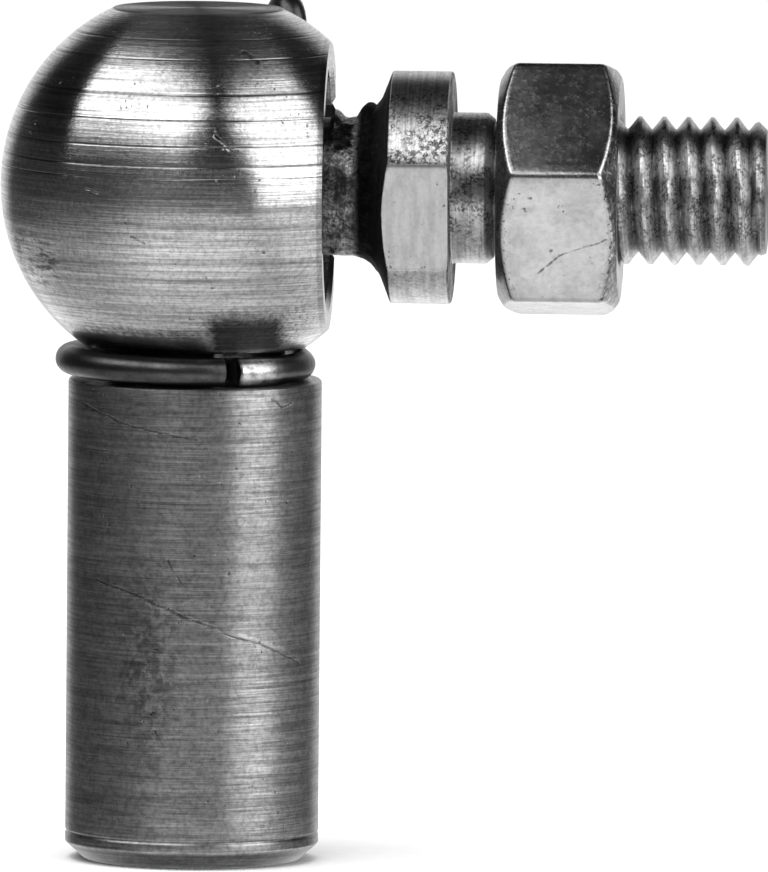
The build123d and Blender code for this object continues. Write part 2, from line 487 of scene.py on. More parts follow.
def distance_from(look, place, centre, stretch=(1.0, 1.0, 1.0)):
    """How far a place is from a centre, with its parts stretched."""
    offset = look.vector("SUBTRACT", place, Vector(centre))
    return look.vector("LENGTH", look.vector("MULTIPLY", offset, Vector(stretch)))


def ring_line(look, along, place, width, streak):
    """A dark line cut all round a turned surface, deeper in some places than in others."""
    near = look.ramp(look.apart(along, place), width, 0.0)
    return look.times(near, look.ramp(streak, 0.35, 0.6, 0.25, 1.0))


def stroke(look, place, start, end, width):
    """A scratch from one point to another of a flat place, as 1 on the line and 0 off it."""
    start, end = Vector((*start, 0)), Vector((*end, 0))
    span = end - start
    from_start = look.vector("SUBTRACT", place, start)
    reach = look.vector("DOT_PRODUCT", from_start, span)
    share = look.math("DIVIDE", reach, span.length_squared, clamp=True)
    nearest = look.vector("SCALE", span, share)
    off = look.vector("LENGTH", look.vector("SUBTRACT", from_start, nearest))
    return look.ramp(off, width, width * 0.3)


def strokes(look, place, marks):
    """Scratches as one mask that fades in places: each a width and its points, in millimetres."""
    mask = 0.0
    for width, *points in marks:
        for start, end in zip(points, points[1:]):
            mask = look.most(mask, stroke(look, place, start, end, width))
    return look.times(mask, look.ramp(look.noise(place, 2.2, 3.0), 0.38, 0.58, 0.4, 1.0))


def socket_steel():
    """Bare turned steel of the socket: tool marks, grain, stains, scratches, pits and deeper lines, with
    painted shade, painted highlights and a painted reflection.
    """
    look = Material("socket_steel")
    place = look.millimetres()
    x, y, z = look.split(place)
    along, _, cosine, sine = around(look, "Z")
    fine = turning(look, "Z", 13.0, 1.3, 4.0)
    hair = turning(look, "Z", 34.0, 2.6, 3.0)
    coarse = turning(look, "Z", 3.6, 0.6, 5.0)
    cloud = look.noise(place, 0.45, 6.0, 0.62)
    mottle = look.noise(place, 2.4, 6.0, 0.68, distortion=0.5)
    grain = look.noise(place, 6.5, 5.0, 0.72)
    pitted = pits(look, 6.0, 0.17)
    front = look.ramp(y, 0.5, -0.5)
    on_shank = look.ramp(z, groove_top, groove_bottom)

    # Place on the unrolled shank, from its front line, and on the front of the head
    turn = look.math("ARCTAN2", cosine, look.times(sine, -1.0))
    wander = look.sway(mottle, 0.22)
    wandering_z = look.plus(z, wander)
    shank_place = look.join(look.times(turn, shank_radius), wandering_z, 0.0)
    head_place = look.join(x, wandering_z, 0.0)

    # Scratches; the long dark one has a painted highlight along its lower edge and runs on as a painted
    # glint
    dark_scratch = (0.08, (-3.4, -12.9), (-1.7, -13.3), (0.0, -14.0), (1.2, -14.4))
    bright_scratch = (0.08, (1.2, -14.4), (2.9, -14.9), (4.4, -15.5))
    edge_offset = Vector((0.0, 0.12, 0.0))
    scratch_edge_highlight = strokes(look, look.vector("ADD", shank_place, edge_offset), [dark_scratch])
    scratch_edge_highlight = look.times(scratch_edge_highlight, on_shank)
    scratch_glint = look.times(strokes(look, shank_place, [bright_scratch]), on_shank)
    shank_marks = strokes(look, shank_place, [
        dark_scratch,
        (0.05, (1.3, -14.55), (2.9, -15.05), (4.4, -15.65)),
        (0.07, (-4.3, -7.1), (-2.0, -7.7), (0.3, -8.1)),
        (0.06, (3.0, -6.8), (3.4, -7.1), (3.9, -7.0)),
        (0.05, (-0.6, -12.1), (-0.4, -12.5), (-0.2, -12.8)),
        (0.06, (-1.0, -17.8), (-0.7, -18.3)),
        (0.06, (9.5, -9.0), (11.0, -10.8), (12.5, -12.0)),
        (0.05, (-11.0, -16.0), (-8.0, -17.5)),
    ])
    head_marks = strokes(look, head_place, [
        (0.09, (0.95, 2.15), (1.45, 1.7)),
        (0.10, (1.75, 4.75), (2.2, 4.45)),
        (0.05, (-1.8, -1.2), (-1.35, -1.45)),
        (0.05, (-3.3, 0.3), (-2.9, 0.15)),
    ])
    marks = look.mix(on_shank, look.times(head_marks, front), shank_marks)

    # Deeper lines round the head, each a height and a width
    ring_lines = (3.42, 0.08), (1.75, 0.05), (1.12, 0.07), (0.7, 0.04), (5.1, 0.04), (4.5, 0.04), (2.6, 0.03)
    deep = 0.0
    for line_height, width in ring_lines:
        deep = look.most(deep, ring_line(look, along, line_height, width, coarse))

    # A painted dark reflection of the clip's joint on the head's underside, and rust pits beside it
    clip_reflection_middle = 1.9
    ragged = look.plus(wander, look.sway(grain, 0.45))
    from_clip_reflection = look.plus(look.apart(x, clip_reflection_middle), ragged)
    clip_reflection = look.masks(
        (from_clip_reflection, 1.5, 0.9),
        (look.plus(z, ragged), -3.6, -4.3),
        front,
        (z, groove_top, groove_top + 0.2),
    )
    rust = look.masks(
        (distance_from(look, place, (3.5, -3.6, -4.6)), 1.6, 0.4),
        (look.noise(place, 8.0, 3.0), 0.52, 0.64),
    )

    # Painted shade round the head's foot, left of the painted reflection, and short dark nicks on its lower
    # left
    ragged_foot = look.plus(z, look.times(ragged, 2.0))
    foot_shade = look.masks(
        (ragged_foot, -4.35, -4.75),
        front,
        (x, 0.8, 0.2),
        (z, groove_top, groove_top + 0.1),
    )
    from_nicks = distance_from(look, place, (-5.3, -3.0, -2.3), (0.7, 0.5, 1.0))
    flat_spots = look.noise(look.vector("MULTIPLY", place, Vector((1.6, 1.6, 6.0))), 1.0, 4.0, 0.65)
    nicks = look.times(look.ramp(from_nicks, 1.5, 0.6), look.ramp(flat_spots, 0.5, 0.57))

    # Painted shade on the head's flat top, in the neck groove, on the mouth's face and on the shank's lower
    # end; and dark patches on the shank
    on_top = look.ramp(z, head_top - 0.04, head_top - 0.01)
    top_face_shade = look.times(on_top, look.ramp(pitted, 1.0, 0.0))
    groove_shade = look.masks(
        (z, groove_top + 0.03, groove_top),
        (z, groove_bottom + 0.02, groove_bottom + 0.06),
    )
    mouth = look.masks((x, mouth_reach - 0.2, mouth_reach - 0.15), (mottle, 0.3, 0.6, 1.0, 0.7))
    shade = look.times(on_shank, look.ramp(mottle, 0.44, 0.64))
    chamfer_top = shank_end + shank_end_chamfer_length
    end_shade = look.ramp(z, chamfer_top, chamfer_top - 0.1)
    from_smudge = distance_from(look, shank_place, (-1.2, -15.6, 0.0), (1.0, 0.35, 1.0))
    smudge = look.masks((from_smudge, 1.5, 0.4), (mottle, 0.42, 0.56), on_shank)

    lines = look.ramp(fine, 0.34, 0.62)
    line_depth = look.ramp(cloud, 0.35, 0.6, 0.45, 1.0)
    look.brightness(
        0.62,
        look.minus(1.0, look.times(look.mix(lines, 0.5, 0.0), line_depth)),
        look.ramp(hair, 0.32, 0.6, 0.66, 1.06),
        look.ramp(coarse, 0.34, 0.6, 0.76, 1.06),
        look.ramp(cloud, 0.3, 0.65, 0.82, 1.0),
        look.ramp(grain, 0.34, 0.6, 0.7, 1.08),
        # Painted shade: the shank is darker towards the head
        (on_shank, look.ramp(z, -7.0, -19.0, 0.62, 0.78)),
        (shade, 0.78),
        (smudge, 0.6),
        (end_shade, 0.32),
        (pitted, 0.35),
        (rust, 0.35),
        (deep, 0.25),
        (clip_reflection, 0.1),
        (marks, 0.45),
        (top_face_shade, 0.17),
        (groove_shade, 0.3),
        (mouth, 0.55),
        (scratch_edge_highlight, 1.25),
        (scratch_glint, 1.45),
        (foot_shade, 0.42),
        (nicks, 0.3),
    )
    roughness = look.plus(look.mix(on_shank, 0.17, 0.33), look.mix(lines, 0.06, 0.0))
    look.surface("Roughness", look.total(roughness, (clip_reflection, 0.25), (on_top, 0.3)))
    look.surface("Metallic", 1.0)
    look.groove("Z", look.mix(on_shank, 0.9, 0.55))
    height = look.total(fine, (hair, 0.4), (grain, 0.5), (pitted, -1.6), (deep, -2.0), (marks, -1.6))
    look.bump(height, 0.006)
    return look.material


def stud_steel():
    """Bare steel of the stud: greasy neck, mottled collar and shoulder, smooth flats, a thread darker in its
    roots, and painted shade on the flare and the collar's end face.
    """
    look = Material("stud_steel")
    place = look.millimetres()
    along, radius, _, _ = around(look, "X")
    _, _, up = look.split(place)
    fine = turning(look, "X", 13.0, 1.6, 4.0)
    coarse = turning(look, "X", 4.0, 1.2, 4.0)
    mottle = look.noise(place, 2.2, 6.0, 0.7, distortion=0.4)
    speck = look.noise(place, 7.5, 4.0, 0.65)
    pepper = look.noise(place, 11.0, 3.0, 0.6)
    pitted = pits(look, 8.0, 0.2)
    greasy = look.ramp(along, collar_start - 0.1, collar_start - 0.7)
    dried = look.times(greasy, look.ramp(mottle, 0.58, 0.42))

    # The two wrench flats lie at one distance from the axis, across their normal
    on_collar = look.masks(
        (along, collar_start - 0.1, collar_start),
        (along, collar_end + 0.01, collar_end - 0.02),
    )
    normal = Vector((0.0, cos(radians(wrench_flats_turn)), sin(radians(wrench_flats_turn))))
    across_flats = look.math("ABSOLUTE", look.vector("DOT_PRODUCT", place, normal))
    flat = look.masks(
        (look.apart(across_flats, wrench_flats_half), 0.03, 0.012),
        (along, flare_start + 0.4, flare_start + 0.5),
    )
    turned_part = look.minus(1.0, flat)

    # Blotches on what is turned, and dark pepper in a band across the collar and near its end
    blotch = look.masks((mottle, 0.4, 0.58), (pepper, 0.42, 0.56))
    blotch = look.masks(blotch, look.masks(turned_part, (up, -2.0, -1.0, 0.35, 1.0)), (up, 3.7, 3.2))
    pepper_band = look.ramp(look.apart(up, 1.2), 0.6, 0.2)
    pepper_side = look.masks((along, collar_start + 0.6, collar_start + 1.3), (up, 0.2, 0.8))
    peppered = look.masks(
        look.most(pepper_band, pepper_side),
        (up, 3.0, 2.4),
        on_collar,
        turned_part,
        (look.noise(place, 6.5, 4.0, 0.6), 0.5, 0.56),
    )

    # Black on the flare and on the collar's end face: painted shade, with dried grease on the flare
    end_face = look.masks(
        (along, collar_end - 0.08, collar_end - 0.03),
        (along, collar_end + 0.04, collar_end + 0.02),
        (mottle, 0.62, 0.4, 0.4, 0.92),
    )
    ragged = look.plus(along, look.sway(mottle, 0.6))
    on_flare = look.masks(
        (ragged, flare_start + 0.1, flare_start + 0.45),
        (along, collar_start + 0.05, collar_start),
    )
    black_shade_and_grease = look.times(look.most(end_face, on_flare), turned_part)

    lines = look.masks((fine, 0.6, 0.36), turned_part, (up, -2.8, -2.0, 0.3, 1.0))
    # The thread is darker in its roots and low on its flanks
    root = look.masks(
        (radius, thread_root_radius + 0.3, thread_root_radius + 0.02),
        (along, thread_start, thread_start + 0.1),
    )
    look.brightness(
        look.mix(flat, 0.62, 0.42),
        (lines, 0.66),
        look.ramp(coarse, 0.34, 0.6, 0.84, 1.05),
        look.ramp(speck, 0.3, 0.6, look.mix(flat, 0.72, 0.93), 1.05),
        (blotch, 0.25),
        (greasy, 0.7),
        (black_shade_and_grease, 0.02),
        (peppered, 0.25),
        (dried, 0.2),
        (root, 0.4),
        (pitted, 0.35),
    )
    roughness = look.mix(flat, 0.4, 0.34)
    roughness = look.mix(greasy, roughness, 0.3)
    look.surface("Roughness", look.mix(black_shade_and_grease, roughness, 0.8))
    look.surface("Metallic", look.mix(black_shade_and_grease, 1.0, 0.0))
    look.surface("Specular IOR Level", look.mix(black_shade_and_grease, 0.5, 0.05))
    look.groove("X", look.mix(flat, 0.85, 0.0))
    height = look.times(look.total(fine, (speck, 0.9)), look.mix(flat, 1.0, 0.2))
    height = look.plus(height, look.times(mottle, greasy, 5.0))
    look.bump(look.minus(height, pitted), 0.007)
    return look.material


def nut_steel():
    """The nut's smooth steel: painted shade and spots on its upper sides, a painted highlight along their
    edges, and a few fine scratches.
    """
    look = Material("nut_steel")
    place = look.millimetres()
    x, y, z = look.split(place)
    _, radius, _, _ = around(look, "X")
    cloud = look.noise(place, 0.8, 6.0, 0.62, distortion=0.3)
    speck = look.noise(place, 5.0, 5.0, 0.65)
    spots = look.ramp(look.noise(place, 4.2, 6.0, 0.75), 0.48, 0.6)
    pitted = pits(look, 8.0, 0.18)
    upper = look.ramp(z, 0.2, 1.2)
    grey_spots = look.times(upper, look.ramp(look.noise(place, 5.0, 7.0, 0.8), 0.5, 0.72))

    # The turned corners: darker spots on them, and the inner ones darker all round, with nicks and a painted
    # highlight on the upper edge beside them
    middle = (nut_start + nut_end) / 2
    inner = look.ramp(x, middle + 0.5, middle - 0.5)
    face_radius = look.mix(inner, nut_outer_face_radius, nut_inner_face_radius)
    rise = look.times(look.minus(radius, face_radius), tan(radians(nut_chamfer_angle)))
    reach = look.plus(look.apart(x, middle), rise)
    from_chamfer = look.apart(reach, (nut_end - nut_start) / 2)
    on_chamfer = look.ramp(from_chamfer, 0.05, 0.02)
    darker_corners = look.times(on_chamfer, look.ramp(speck, 0.62, 0.48))
    darker_corners = look.most(darker_corners, look.times(on_chamfer, inner, 0.8))
    nicks = look.masks((from_chamfer, 0.3, 0.06), (look.noise(place, 9.0, 4.0), 0.57, 0.63))
    upper_edge_highlight = look.times(look.ramp(from_chamfer, 0.1, 0.04), upper)

    # Fine scratches on the side that faces the front
    wander = look.sway(speck, 0.25)
    marks = strokes(look, look.join(look.plus(x, wander), look.plus(z, wander), 0.0), [
        (0.045, (11.5, -2.5), (12.2, -1.9)),
        (0.03, (12.2, -1.9), (12.7, -1.7), (13.2, -1.55)),
        (0.05, (13.0, -1.6), (13.2, -1.55)),
        (0.03, (13.2, -1.55), (13.75, -1.35)),
        (0.06, (11.2, 0.05), (11.26, 0.03)),
        (0.06, (11.9, -1.75), (11.95, -1.72)),
    ])
    marks = look.masks(marks, (y, 0.5, -0.5), (speck, 0.62, 0.45, 0.3, 1.0))

    look.brightness(
        0.52,
        look.ramp(cloud, 0.32, 0.62, 0.8, 1.02),
        look.ramp(speck, 0.3, 0.6, 0.86, 1.03),
        # Painted shade: the upper sides are darker, and spotted
        (upper, look.mix(spots, 0.34, 0.47)),
        (grey_spots, 1.4),
        (upper_edge_highlight, 2.4),
        (darker_corners, 0.4),
        (nicks, 0.3),
        (pitted, 0.3),
        (marks, 0.35),
    )
    look.surface("Roughness", look.total(look.ramp(cloud, 0.3, 0.7, 0.3, 0.2), (grey_spots, 0.14)))
    look.surface("Metallic", 1.0)
    look.bump(look.total(speck, (cloud, 0.5), (look.plus(marks, pitted), -1.5)), 0.008)
    return look.material


def dark_wire(name, base, bare_and_painted_light=None):
    """Dark drawn spring wire; the optional mask function, called with the look and the place, gives where
    the steel shows through and where light is painted on.
    """
    look = Material(name)
    place = look.millimetres()
    if bare_and_painted_light:
        base = look.mix(bare_and_painted_light(look, place), base, 0.65)
    cloud = look.noise(place, 1.4, 5.0, 0.6)
    grain = look.noise(place, 14.0, 3.0, 0.6)
    tone = look.times(look.ramp(cloud, 0.3, 0.7, 0.7, 1.15), base)
    look.grey(look.times(tone, look.ramp(grain, 0.3, 0.7, 0.8, 1.1)))
    look.surface("Roughness", look.ramp(cloud, 0.3, 0.7, 0.42, 0.3))
    look.surface("Metallic", 1.0)
    look.bump(grain, 0.004)
    return look.material


def clip_bare_ends_and_painted_light(look, place):
    """Where the clip is lighter: its two cut ends, where the steel shows through, and a stretch of the ring
    beside them with painted light on it.
    """
    angle = radians(clip_joint_angle)
    half_gap = clip_joint_gap / 2
    joint = clip_ring_point(clip_joint_angle, clip_ring_radius)
    from_joint = look.vector("SUBTRACT", place, joint)
    along = look.vector("DOT_PRODUCT", from_joint, Vector((-sin(angle), cos(angle), 0)))
    near = look.ramp(look.vector("LENGTH", from_joint), 0.8, 0.6)
    ends = look.ramp(look.math("ABSOLUTE", along), half_gap + 0.02, half_gap + 0.01)
    _, y, _ = look.split(place)
    painted_light_stretch = look.masks((along, half_gap, half_gap + 0.2), (along, 2.2, 1.2), (y, -2.0, -3.0))
    patchy = look.ramp(look.noise(place, 2.5, 4.0), 0.35, 0.55, 0.35, 1.0)
    return look.most(look.times(ends, near, 0.5), look.times(painted_light_stretch, patchy))


def pale_floor():
    """A plain pale table top with a faint tooth."""
    look = Material("pale_floor")
    grain = look.noise(look.millimetres(), 1.2, 3.0)
    look.grey(look.ramp(grain, 0.2, 0.8, 0.8, 0.84))
    look.surface("Roughness", 0.7)
    return look.material


def wear(made, slot_name, body, material, *nodes):
    """A finished piece: its material, body and the CAD nodes it stands for. The record slot is not used."""
    made.data.materials.clear()
    made.data.materials.append(material)
    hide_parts(*nodes)
    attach(made, body)


# ---- Pieces ----

def make_socket():
    """The socket: turned head, neck groove and shank, bored seat, the clip's slot and the tapped hole."""
    top_angle = degrees(acos(head_top / head_radius))
    seat_angle = degrees(acos(groove_top / head_radius))
    lower = rounded([
        (shank_end, 0),
        (shank_end, shank_radius - shank_end_chamfer_depth),
        (shank_end + shank_end_chamfer_length, shank_radius),
        (shank_end + fillister_height - fillister_depth, shank_radius),
        (shank_end + fillister_height, shank_radius - fillister_depth),
        (shank_end + fillister_height + fillister_depth, shank_radius),
        (groove_bottom, shank_radius),
        (groove_bottom, neck_groove_radius),
        (groove_top, neck_groove_radius),
        (groove_top, head_seat_radius),
    ], 0.12)
    upper = arc((0, 0), head_radius, seat_angle, top_angle, 96)
    outline = divided(lower + upper + [(head_top, 0)], 0.8)
    socket = turned("ball_socket_body", outline, "Z", 192)
    wide = 2 * head_radius
    z = ball_centre.z
    cut(socket, block((mouth_reach, -wide, z - wide), (mouth_reach + wide, wide, z + wide)))
    cut(socket, make_seat_cutter())
    slot_low = (slot_floor, leg_offset - slot_width / 2, z + groove_top)
    slot_high = (head_radius, leg_offset + slot_width / 2, z + head_radius)
    cut(socket, block(slot_low, slot_high))
    cut(socket, make_hole_cutter())
    smooth(socket, 25)
    return socket


def make_seat_cutter():
    """What the seat, the snap ring's groove and the mouth's chamfer take out of the head."""
    outline = arc((0, 0), seat_radius, 180, 90, 32) + [
        (ring_reach - ring_groove_width / 2, seat_radius),
        (ring_reach - ring_groove_width / 2, ring_groove_radius),
        (ring_reach + ring_groove_width / 2, ring_groove_radius),
        (ring_reach + ring_groove_width / 2, seat_radius),
        (mouth_reach - mouth_chamfer, seat_radius),
        (mouth_reach + mouth_chamfer, seat_radius + 2 * mouth_chamfer),
        (mouth_reach + mouth_chamfer, 0),
    ]
    return turned("seat_cutter", outline, "X", 128)


def make_hole_cutter():
    """What the tapped hole takes out of the shank: its thread, drill point and countersink."""
    hole_end = shank_end + tapped_depth
    thread_end = hole_end - tapped_runout
    point_height = hole_thread_root_radius / tan(radians(drill_point_angle / 2))
    outside = 1.0

    def thread(along, radius, angle):
        if radius < hole_thread_crest_radius - 1e-6:
            return radius
        fade = min(1.0, max(0.0, (thread_end - along) / thread_pitch))
        depth = thread_depth(along / thread_pitch - angle / (2 * pi)) * fade + (1 - fade)
        return hole_thread_crest_radius - depth * (hole_thread_crest_radius - hole_thread_root_radius)

    outline = [
        (shank_end - outside, 0),
        (shank_end - outside, tapped_mouth_radius),
        (shank_end - 0.01, tapped_mouth_radius),
    ]
    rows = ceil((thread_end - shank_end) / (thread_pitch / 14))
    for i in range(rows + 1):
        along = shank_end + (thread_end - shank_end) * i / rows
        if along > shank_end + tapped_mouth_depth:
            outline.append((along, hole_thread_crest_radius))
    outline += [(hole_end, hole_thread_root_radius), (hole_end + point_height, 0)]
    return turned("hole_cutter", outline, "Z", 72, thread)


def dried_grease(along, radius, angle):
    """How far dried grease and its burrs stand out of the neck and the flare, at a point."""
    from_mouth = (along - mouth_reach - grease_start) / 0.1
    to_collar = (collar_start - along) / 0.3
    inside = min(1.0, max(0.0, from_mouth)) * min(1.0, max(0.0, to_collar))
    if inside == 0.0:
        return 0.0
    point = from_axis(along, radius, angle)
    height = grease_height * max(0.0, noise.noise(point * 1.7)) + grease_grain * noise.noise(point * 6.0)
    from_top = (angle - pi / 2) * radius
    for burr_along, burr_height, burr_width in grease_burrs:
        away = (along - burr_along) ** 2 + (from_top / 3) ** 2
        height += burr_height * max(0.0, 1 - away / burr_width**2)
    return height * inside


def stud_shape(along, radius, angle):
    """The stud's radius at a point: its grease, its wrench flats and its thread."""
    radius += dried_grease(along, radius, angle)
    if collar_start - 1.0 < along < collar_end + 0.01 and radius > wrench_flats_half:
        side = abs(cos(angle - radians(wrench_flats_turn)))
        if side * radius > wrench_flats_half:
            return wrench_flats_half / side
    if along > thread_start and radius > thread_root_radius:
        turns = (along - thread_phase) / thread_pitch - angle / (2 * pi)
        from_start = min(1.0, max(0.0, (along - thread_start) / (thread_pitch / 2)))
        depth = thread_depth(turns) * from_start
        threaded = thread_crest_radius - depth * (thread_crest_radius - thread_root_radius)
        return min(radius, threaded)
    return radius


def make_stud():
    """The ball stud: ball, neck, flare, collar with two flats, shoulder and M5 thread."""
    neck_angle = degrees(asin(neck_radius / ball_radius))
    outline = arc((0, 0), ball_radius, 180, neck_angle, 72)
    flare_centre = (flare_start, neck_radius + flare_radius)
    neck = [outline[-1], *arc(flare_centre, flare_radius, 270, 270 + flare_angle, 16)]
    outline += divided(neck, 0.08)[1:]
    full_thread_start = thread_start + thread_lead_in
    full_thread_end = stud_end - stud_end_chamfer
    collar = rounded([
        (flare_end, flare_end_radius),
        (collar_start, collar_radius),
        (collar_end, collar_radius),
        (collar_end, shoulder_radius),
        (shoulder_end - shoulder_chamfer_length, shoulder_radius),
        (shoulder_end, shoulder_radius - shoulder_chamfer_depth),
        (shoulder_end, undercut_radius),
        (thread_start, undercut_radius),
        (full_thread_start, thread_crest_radius),
    ], 0.1)
    outline += divided(collar[:3], 0.05) + collar[3:]
    rows = ceil((stud_end - thread_start) / (thread_pitch / 20))
    for i in range(1, rows):
        along = full_thread_start + (full_thread_end - full_thread_start) * i / rows
        outline.append((along, thread_crest_radius))
    outline += rounded([
        (full_thread_end, thread_crest_radius),
        (stud_end, thread_crest_radius - stud_end_chamfer),
        (stud_end, 0),
    ], 0.08)
    stud = turned("ball_stud_body", divided(outline, 0.25), "X", 180, stud_shape)
    smooth(stud, 40)
    return stud


def make_nut():
    """The hexagon nut: faces, turned corners with rounded edges, countersinks and thread."""
    middle = (nut_start + nut_end) / 2
    half = nut_across_flats / 2
    slope = tan(radians(nut_chamfer_angle))
    thread_half = (nut_end - nut_start) / 2 - nut_countersink_depth
    rows = 60

    # Angles round one side, from its middle, closer together where its corner is rounded
    side = [-30.0, -29.4, -28.8, *[-28.0 + 56.0 * i / 20 for i in range(21)], 28.8, 29.4]
    angles = [radians(nut_turn + 60 * k + a) for k in range(6) for a in side]

    def reach(angle):
        """The distance out to the nut's side: its flats face nut_turn and every 60 degrees from it."""
        from_flat = abs((angle - radians(nut_turn) + pi / 6) % (pi / 3) - pi / 6)
        corner = max(0.0, from_flat - radians(30 - nut_corner_round))
        blend = tan(pi / 6) / cos(pi / 6) * half / (2 * radians(nut_corner_round))
        return half / cos(from_flat) - blend * corner**2

    def section(angle):
        """The nut's outline at an angle, as (along, radius) points, once round."""
        out = reach(angle)
        outside = rounded([
            (nut_start + nut_countersink_depth, nut_thread_root_radius),
            (nut_start, nut_countersink_radius),
            (nut_start, nut_inner_face_radius),
            (nut_start + (out - nut_inner_face_radius) * slope, out),
            (nut_end - (out - nut_outer_face_radius) * slope, out),
            (nut_end, nut_outer_face_radius),
            (nut_end, nut_countersink_radius),
            (nut_end - nut_countersink_depth, nut_thread_root_radius),
        ], nut_edge_round)
        inside = []
        for i in range(rows + 1):
            along = middle + thread_half * (1 - 2 * i / rows)
            turns = (along - thread_phase) / thread_pitch - angle / (2 * pi)
            inside.append((along, nut_thread_root_radius - nut_thread_depth * thread_depth(turns)))
        return outside + inside

    vertices, faces = [], []
    for angle in angles:
        for along, radius in section(angle):
            vertices.append(ball_centre + from_axis(along, radius, angle))
    count = len(vertices) // len(angles)
    for i in range(len(angles)):
        here, there = i * count, (i + 1) % len(angles) * count
        for j in range(count):
            k = (j + 1) % count
            faces.append((here + j, here + k, there + k, there + j))
    nut = link_mesh("hex_nut_body", vertices, faces)
    recalculate_normals(nut)
    smooth(nut, 35)
    return nut


# ---- Safety clip ----

def clip_ring_point(angle, radius):
    """A point of the clip's leaning ring, at an angle in degrees about the ring's centre."""
    across, y = radius * cos(radians(angle)), radius * sin(radians(angle))
    return Vector((across - clip_ring_shift, y, groove_middle - clip_ring_slope * across))


def ring_run(start, end, step=6):
    """Points on the clip's ring from one angle to another."""
    count = max(1, ceil(abs(end - start) / step))
    angles = [start + (end - start) * i / count for i in range(count + 1)]
    return [clip_ring_point(angle, clip_ring_radius) for angle in angles]


def head_run(foot, top, step=radians(6)):
    """Points of the wire where it lies round the head, between a foot and a top that lie outside it."""
    outward = foot.normalized()
    beside = (top - outward * top.dot(outward)).normalized()
    first = acos(min(1.0, wire_round_head / foot.length))
    last = foot.angle(top) - acos(min(1.0, wire_round_head / top.length))
    count = ceil((last - first) / step)
    angles = [first + (last - first) * i / count for i in range(count + 1)]
    return [outward * wire_round_head * cos(a) + beside * wire_round_head * sin(a) for a in angles]


def bend(before, corner, after, radius, steps=8):
    """Points of the arc that rounds a corner of the wire."""
    back, on = (before - corner).normalized(), (after - corner).normalized()
    turn = pi - back.angle(on)
    reach = radius * tan(turn / 2)
    centre = corner + (back + on).normalized() * (radius / cos(turn / 2))
    start, end = corner + back * reach - centre, corner + on * reach - centre
    spokes = [start.slerp(end, i / steps) for i in range(steps + 1)]
    return [centre + spoke * (radius / spoke.length) for spoke in spokes]


def clip_path():
    """The wire's centre line from end to end: ring, riser up the back of the head, top bend, leg, ring."""
    half_gap = degrees(clip_joint_gap / 2 / clip_ring_radius)
    riser_angle = clip_riser_angle - 360
    direction = Vector((sin(radians(riser_angle)), -cos(radians(riser_angle)), 0))
    riser_start = clip_ring_point(riser_angle, clip_ring_radius)
    riser_foot = riser_start + direction * clip_riser_lead
    top_distance = wire_round_head + clip_top_rise
    leg_top = Vector((leg_reach, leg_offset, sqrt(top_distance**2 - leg_reach**2 - leg_offset**2)))
    leg_across = leg_reach + clip_ring_shift
    leg_distance = sqrt(leg_across**2 + leg_offset**2)
    leg_angle = degrees(atan2(leg_offset, leg_across))
    leg_foot = clip_ring_point(leg_angle, leg_distance)
    leg_joins = leg_angle - degrees(acos(clip_ring_radius / leg_distance))
    over_head = head_run(riser_foot, leg_top)
    return [
        *ring_run(clip_joint_angle - half_gap, riser_angle),
        *bend(riser_start, riser_foot, over_head[0], clip_foot_bend),
        *over_head,
        *bend(over_head[-1], leg_top, leg_foot, clip_top_bend),
        *bend(leg_top, leg_foot, clip_ring_point(leg_joins, clip_ring_radius), clip_foot_bend),
        *ring_run(leg_joins, clip_joint_angle + half_gap),
    ]


def make_clip():
    """The safety clip: round wire swept along its path, the edges of its cut ends broken."""
    points = clip_path()
    sides = 40
    vertices, faces = [], []
    tangents = [(b - a).normalized() for a, b in zip(points, points[1:])]
    between = [(a + b).normalized() for a, b in zip(tangents, tangents[1:])]
    tangents = [tangents[0], *between, tangents[-1]]
    first, last = tangents[0], tangents[-1]
    normal = first.orthogonal().normalized()
    path = [
        (points[0], first, clip_wire_radius - clip_end_edge),
        (points[0] + first * clip_end_edge, first, clip_wire_radius),
        *[(p, t, clip_wire_radius) for p, t in zip(points[1:-1], tangents[1:-1])],
        (points[-1] - last * clip_end_edge, last, clip_wire_radius),
        (points[-1], last, clip_wire_radius - clip_end_edge),
    ]
    for place, tangent, radius in path:
        normal = (normal - tangent * normal.dot(tangent)).normalized()
        side = tangent.cross(normal)
        for i in range(sides):
            angle = 2 * pi * i / sides
            vertices.append(ball_centre + place + (normal * cos(angle) + side * sin(angle)) * radius)
    last_row = (len(path) - 1) * sides
    for row in range(0, last_row, sides):
        for i in range(sides):
            j = (i + 1) % sides
            faces.append((row + i, row + j, row + sides + j, row + sides + i))
    faces.append(tuple(range(sides)))
    faces.append(tuple(range(last_row, last_row + sides)))
    clip = link_mesh("safety_clip_wire", vertices, faces)
    recalculate_normals(clip)
    smooth(clip, 40)
    return clip


# ---- Stage, lights and camera ----

def make_floor():
    """A wide round table top under the shank."""
    radius, count, floor_gap = 3000.0, 64, 0.02
    angles = [2 * pi * i / count for i in range(count)]
    rim = [(radius * cos(angle), radius * sin(angle), -floor_gap) for angle in angles]
    floor = link_mesh("floor", rim, [tuple(range(count))])
    floor.data.materials.append(pale_floor())
    floor.visible_glossy = False


